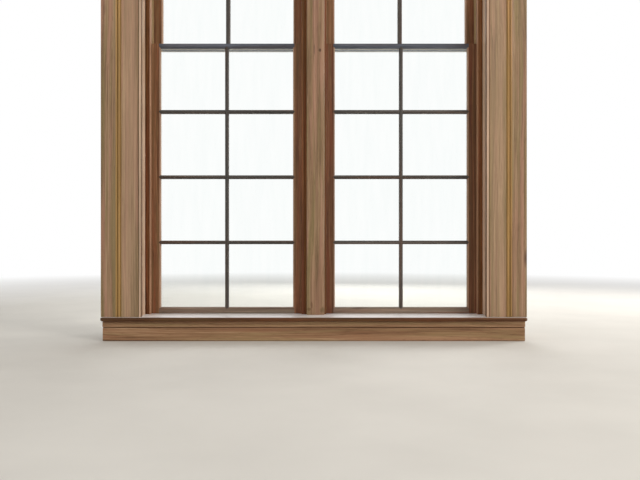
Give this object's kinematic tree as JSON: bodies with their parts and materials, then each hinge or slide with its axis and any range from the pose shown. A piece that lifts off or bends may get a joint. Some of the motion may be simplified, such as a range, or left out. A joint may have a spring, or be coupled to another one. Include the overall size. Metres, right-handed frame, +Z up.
{
  "type": "paired sash window",
  "caption": "Pair of double-hung wooden sash windows in one weighted box frame, with casings, stool, apron and sill; each sash slides up and down on cords over pulleys.",
  "frame": {"origin": "middle of the sill's underside: on the mullion's centre line, half way between the two sash tracks, at the plane on which the sill is bedded", "axes": "+X to the right along the wall as seen from the room, +Y from the room to the outdoors, +Z up"},
  "size_m": [1.898, 0.3486, 2.8086],
  "materials": {
    "trim_wood": "satin",
    "sash_wood": "satin",
    "frame_wood": "matte",
    "outer_paint": "satin",
    "old_glass": "gloss",
    "pulley_iron": "satin",
    "pin_steel": "satin",
    "wheel_brass": "satin",
    "weight_iron": "matte",
    "cord_cotton": "matte"
  },
  "bodies": {
    "frame": {"stool": "trim_wood", "apron": "trim_wood", "left_casing": "trim_wood", "right_casing": "trim_wood", "head_casing": "trim_wood", "mullion_casing": "trim_wood", "left_reveal_lining": "trim_wood", "right_reveal_lining": "trim_wood", "head_reveal_lining": "trim_wood", "stop_beads": "trim_wood", "inside_linings": "trim_wood", "left_pulley_stile": "frame_wood", "right_pulley_stile": "frame_wood", "mullion_pulley_stiles": "frame_wood", "pocket_covers": "frame_wood", "head_jamb": "frame_wood", "back_linings": "frame_wood", "parting_slips": "frame_wood", "parting_beads": "frame_wood", "sill": "outer_paint", "outside_linings": "outer_paint", "outer_mouldings": "outer_paint", "pulley_cases": "pulley_iron", "pulley_pins": "pin_steel", "left_lower_cords": "cord_cotton", "left_upper_cords": "cord_cotton", "right_lower_cords": "cord_cotton", "right_upper_cords": "cord_cotton"},
    "left_lower_sash": {"left_lower_sash_stiles": "sash_wood", "left_lower_sash_top_rail": "sash_wood", "left_lower_sash_bottom_rail": "sash_wood", "left_lower_sash_muntins": "sash_wood", "left_lower_sash_panes": "old_glass"},
    "left_lower_weights": {"left_lower_weights": "weight_iron"},
    "left_lower_left_pulley_wheel": {"left_lower_left_pulley_wheel": "wheel_brass"},
    "left_lower_right_pulley_wheel": {"left_lower_right_pulley_wheel": "wheel_brass"},
    "left_upper_sash": {"left_upper_sash_stiles": "sash_wood", "left_upper_sash_top_rail": "sash_wood", "left_upper_sash_bottom_rail": "sash_wood", "left_upper_sash_muntins": "sash_wood", "left_upper_sash_panes": "old_glass"},
    "left_upper_weights": {"left_upper_weights": "weight_iron"},
    "left_upper_left_pulley_wheel": {"left_upper_left_pulley_wheel": "wheel_brass"},
    "left_upper_right_pulley_wheel": {"left_upper_right_pulley_wheel": "wheel_brass"},
    "right_lower_sash": {"right_lower_sash_stiles": "sash_wood", "right_lower_sash_top_rail": "sash_wood", "right_lower_sash_bottom_rail": "sash_wood", "right_lower_sash_muntins": "sash_wood", "right_lower_sash_panes": "old_glass"},
    "right_lower_weights": {"right_lower_weights": "weight_iron"},
    "right_lower_left_pulley_wheel": {"right_lower_left_pulley_wheel": "wheel_brass"},
    "right_lower_right_pulley_wheel": {"right_lower_right_pulley_wheel": "wheel_brass"},
    "right_upper_sash": {"right_upper_sash_stiles": "sash_wood", "right_upper_sash_top_rail": "sash_wood", "right_upper_sash_bottom_rail": "sash_wood", "right_upper_sash_muntins": "sash_wood", "right_upper_sash_panes": "old_glass"},
    "right_upper_weights": {"right_upper_weights": "weight_iron"},
    "right_upper_left_pulley_wheel": {"right_upper_left_pulley_wheel": "wheel_brass"},
    "right_upper_right_pulley_wheel": {"right_upper_right_pulley_wheel": "wheel_brass"}
  },
  "joints": [
    {"name": "left_lower_sash_slide", "type": "slide", "parent": "frame", "child": "left_lower_sash", "axis": [0, 0, 1], "range_m": [0, 1.14], "deforming": ["left_lower_cords"]},
    {"name": "left_lower_weights_slide", "type": "slide", "parent": "frame", "child": "left_lower_weights", "axis": [0, 0, -1], "range_m": [0, 1.14]},
    {"name": "left_lower_left_pulley_wheel_turn", "type": "hinge", "parent": "frame", "child": "left_lower_left_pulley_wheel", "pos_m": [-0.7865, -0.0248, 2.52905], "axis": [0, -1, 0], "range_deg": [0, 2613.7]},
    {"name": "left_lower_right_pulley_wheel_turn", "type": "hinge", "parent": "frame", "child": "left_lower_right_pulley_wheel", "pos_m": [-0.0325, -0.0248, 2.52905], "axis": [0, 1, 0], "range_deg": [0, 3438.7]},
    {"name": "left_upper_sash_slide", "type": "slide", "parent": "frame", "child": "left_upper_sash", "axis": [0, 0, -1], "range_m": [0, 1.14], "deforming": ["left_upper_cords"]},
    {"name": "left_upper_weights_slide", "type": "slide", "parent": "frame", "child": "left_upper_weights", "axis": [0, 0, 1], "range_m": [0, 1.14]},
    {"name": "left_upper_left_pulley_wheel_turn", "type": "hinge", "parent": "frame", "child": "left_upper_left_pulley_wheel", "pos_m": [-0.7865, 0.0248, 2.52905], "axis": [0, 1, 0], "range_deg": [0, 2613.7]},
    {"name": "left_upper_right_pulley_wheel_turn", "type": "hinge", "parent": "frame", "child": "left_upper_right_pulley_wheel", "pos_m": [-0.0325, 0.0248, 2.52905], "axis": [0, -1, 0], "range_deg": [0, 3438.7]},
    {"name": "right_lower_sash_slide", "type": "slide", "parent": "frame", "child": "right_lower_sash", "axis": [0, 0, 1], "range_m": [0, 1.14], "deforming": ["right_lower_cords"]},
    {"name": "right_lower_weights_slide", "type": "slide", "parent": "frame", "child": "right_lower_weights", "axis": [0, 0, -1], "range_m": [0, 1.14]},
    {"name": "right_lower_left_pulley_wheel_turn", "type": "hinge", "parent": "frame", "child": "right_lower_left_pulley_wheel", "pos_m": [0.0325, -0.0248, 2.52905], "axis": [0, -1, 0], "range_deg": [0, 3438.7]},
    {"name": "right_lower_right_pulley_wheel_turn", "type": "hinge", "parent": "frame", "child": "right_lower_right_pulley_wheel", "pos_m": [0.7865, -0.0248, 2.52905], "axis": [0, 1, 0], "range_deg": [0, 2613.7]},
    {"name": "right_upper_sash_slide", "type": "slide", "parent": "frame", "child": "right_upper_sash", "axis": [0, 0, -1], "range_m": [0, 1.14], "deforming": ["right_upper_cords"]},
    {"name": "right_upper_weights_slide", "type": "slide", "parent": "frame", "child": "right_upper_weights", "axis": [0, 0, 1], "range_m": [0, 1.14]},
    {"name": "right_upper_left_pulley_wheel_turn", "type": "hinge", "parent": "frame", "child": "right_upper_left_pulley_wheel", "pos_m": [0.0325, 0.0248, 2.52905], "axis": [0, 1, 0], "range_deg": [0, 3438.7]},
    {"name": "right_upper_right_pulley_wheel_turn", "type": "hinge", "parent": "frame", "child": "right_upper_right_pulley_wheel", "pos_m": [0.7865, 0.0248, 2.52905], "axis": [0, -1, 0], "range_deg": [0, 2613.7]}
  ],
  "couplings": [
    {"joint": "left_lower_weights_slide", "follows": "left_lower_sash_slide", "ratio": 1},
    {"joint": "left_lower_left_pulley_wheel_turn", "follows": "left_lower_sash_slide", "rad_per_m": 40},
    {"joint": "left_lower_right_pulley_wheel_turn", "follows": "left_lower_sash_slide", "rad_per_m": 52.632},
    {"joint": "left_upper_weights_slide", "follows": "left_upper_sash_slide", "ratio": 1},
    {"joint": "left_upper_left_pulley_wheel_turn", "follows": "left_upper_sash_slide", "rad_per_m": 40},
    {"joint": "left_upper_right_pulley_wheel_turn", "follows": "left_upper_sash_slide", "rad_per_m": 52.632},
    {"joint": "right_lower_weights_slide", "follows": "right_lower_sash_slide", "ratio": 1},
    {"joint": "right_lower_left_pulley_wheel_turn", "follows": "right_lower_sash_slide", "rad_per_m": 52.632},
    {"joint": "right_lower_right_pulley_wheel_turn", "follows": "right_lower_sash_slide", "rad_per_m": 40},
    {"joint": "right_upper_weights_slide", "follows": "right_upper_sash_slide", "ratio": 1},
    {"joint": "right_upper_left_pulley_wheel_turn", "follows": "right_upper_sash_slide", "rad_per_m": 52.632},
    {"joint": "right_upper_right_pulley_wheel_turn", "follows": "right_upper_sash_slide", "rad_per_m": 40}
  ]
}
